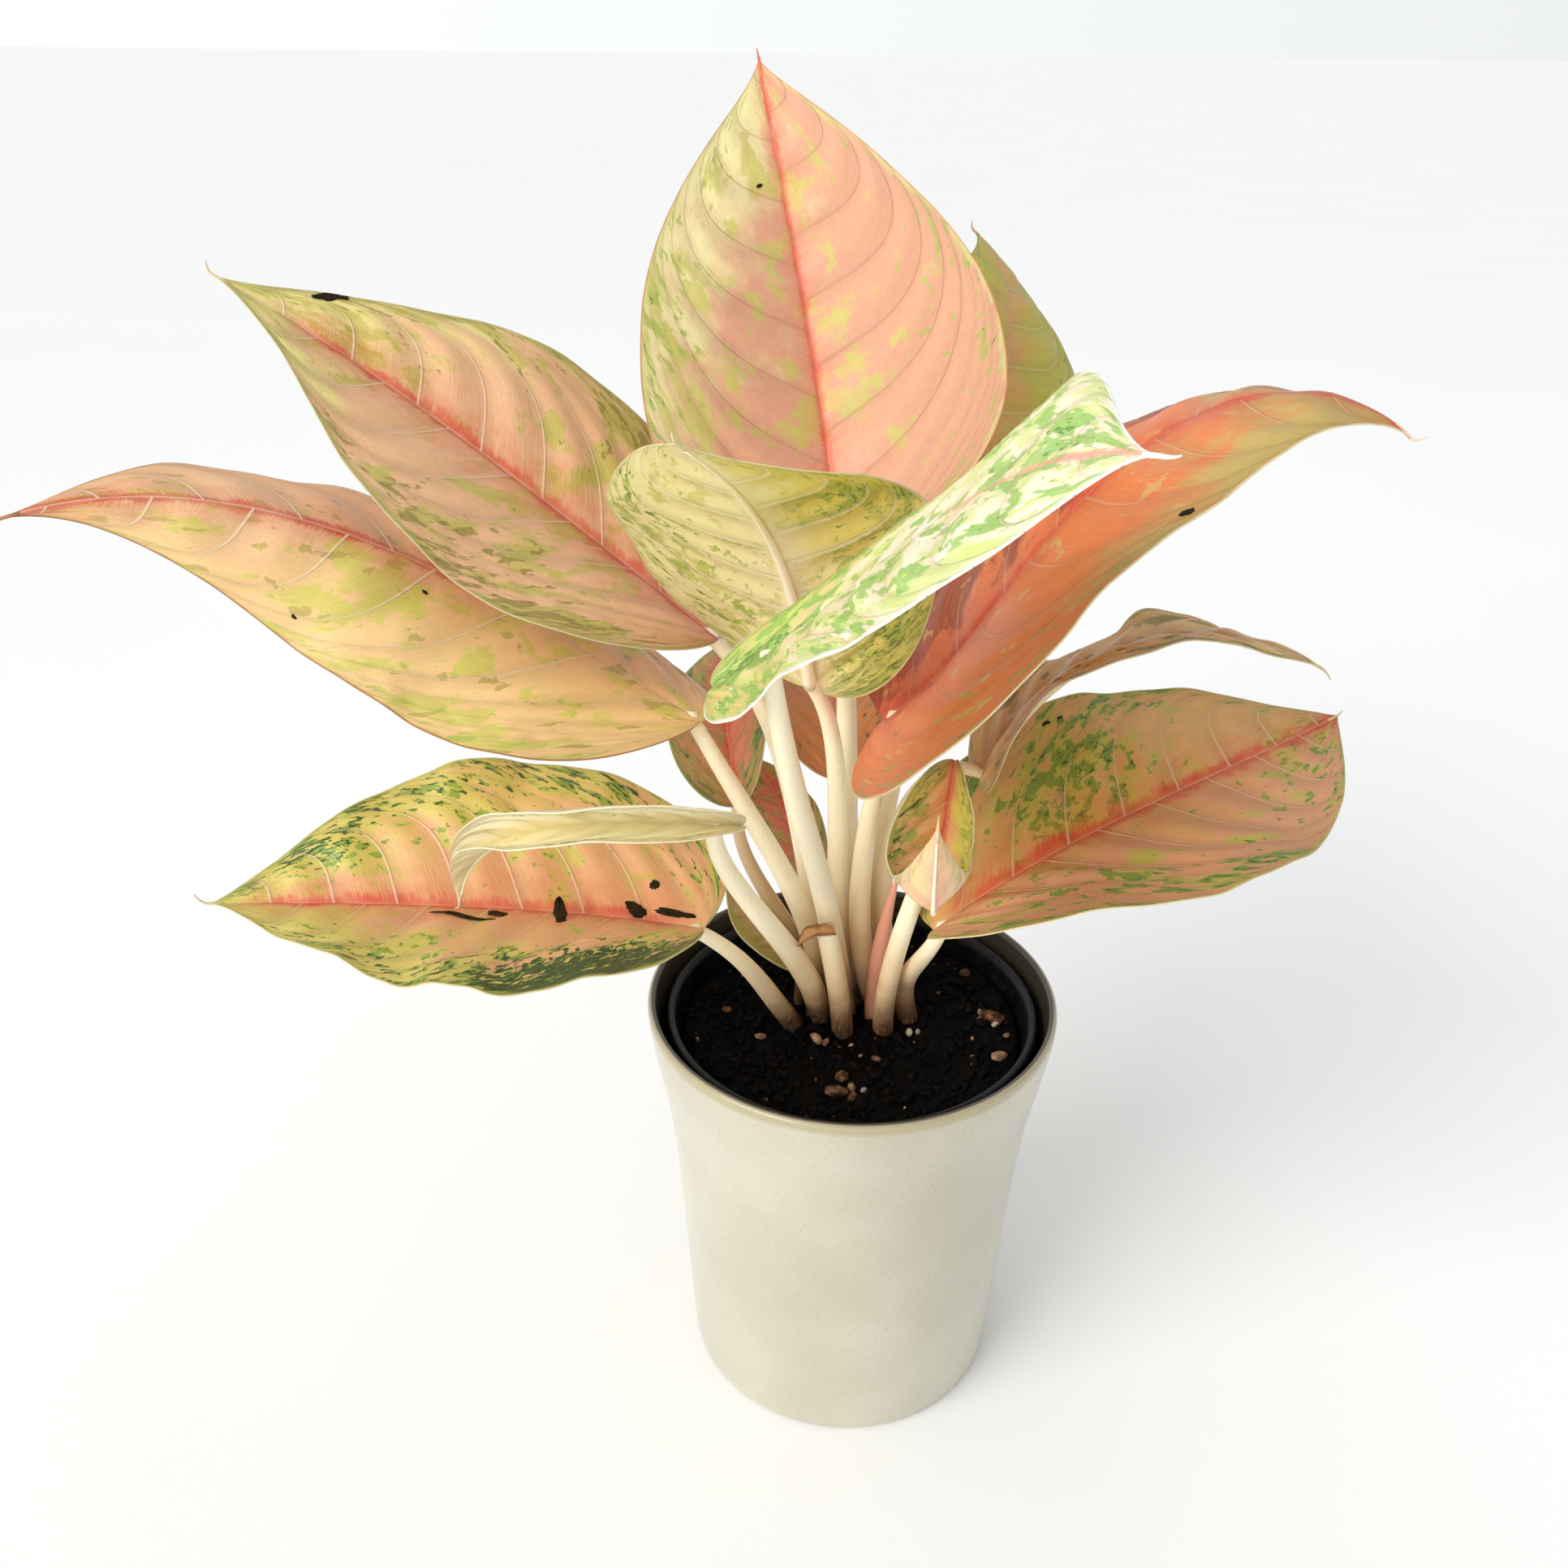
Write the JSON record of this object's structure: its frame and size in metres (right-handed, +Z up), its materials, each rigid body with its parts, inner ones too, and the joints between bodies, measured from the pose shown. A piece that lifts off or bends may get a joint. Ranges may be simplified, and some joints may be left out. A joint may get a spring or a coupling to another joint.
{
  "type": "potted aglaonema",
  "caption": "Potted foliage plant with broad pointed pink, peach and green mottled leaves on pale stalks, in a plain glazed flared pot.",
  "frame": {"origin": "middle of the pot's flat underside", "axes": "+Z up; +Y away from the viewer, so the plant faces -Y; +X to the viewer's right"},
  "size_m": [0.3903, 0.3669, 0.4362],
  "materials": {
    "glaze": "glossy cream grey glaze",
    "black_plastic": "matt black plastic",
    "soil": "dark moist potting mix with bark and grit",
    "stalk": "pale cream leaf stalk, smooth",
    "leaf_pink": "pink leaf with a yellow-green border, satin",
    "leaf_peach": "peach and tan leaf with green patches, satin",
    "leaf_salmon": "salmon leaf, satin",
    "leaf_green": "yellow-green and peach mottled leaf, satin",
    "leaf_pale": "pale cream leaf with green mottling, satin",
    "leaf_olive": "olive and tan mottled leaf, satin",
    "shoot": "pink young shoot, smooth",
    "dry_sheath": "dry brown papery sheath"
  },
  "bodies": {
    "root": {"glazed_pot": "glaze", "nursery_pot": "black_plastic", "potting_soil": "soil", "stalk_top": "stalk", "leaf_top": "leaf_pink", "stalk_back_right": "stalk", "leaf_back_right": "leaf_olive", "stalk_upper_left": "stalk", "leaf_upper_left": "leaf_peach", "stalk_far_left": "stalk", "leaf_far_left": "leaf_peach", "stalk_lower_left": "stalk", "leaf_lower_left": "leaf_green", "stalk_rolled_left": "stalk", "leaf_rolled_left": "leaf_pale", "stalk_front_centre": "stalk", "leaf_front_centre": "leaf_olive", "stalk_front_right": "stalk", "leaf_front_right": "leaf_pale", "stalk_upper_right": "stalk", "leaf_upper_right": "leaf_salmon", "stalk_waved_right": "stalk", "leaf_waved_right": "leaf_olive", "stalk_lower_right": "stalk", "leaf_lower_right": "leaf_peach", "stalk_small_front": "stalk", "leaf_small_front": "leaf_olive", "stalk_back_left": "stalk", "leaf_back_left": "leaf_olive", "stalk_back_centre": "stalk", "leaf_back_centre": "leaf_peach", "stalk_back_small": "stalk", "leaf_back_small": "leaf_peach", "stalk_bract_left": "stalk", "leaf_bract_left": "leaf_olive", "young_shoot": "shoot", "old_stub": "stalk", "dried_sheath": "dry_sheath"}
  },
  "joints": []
}
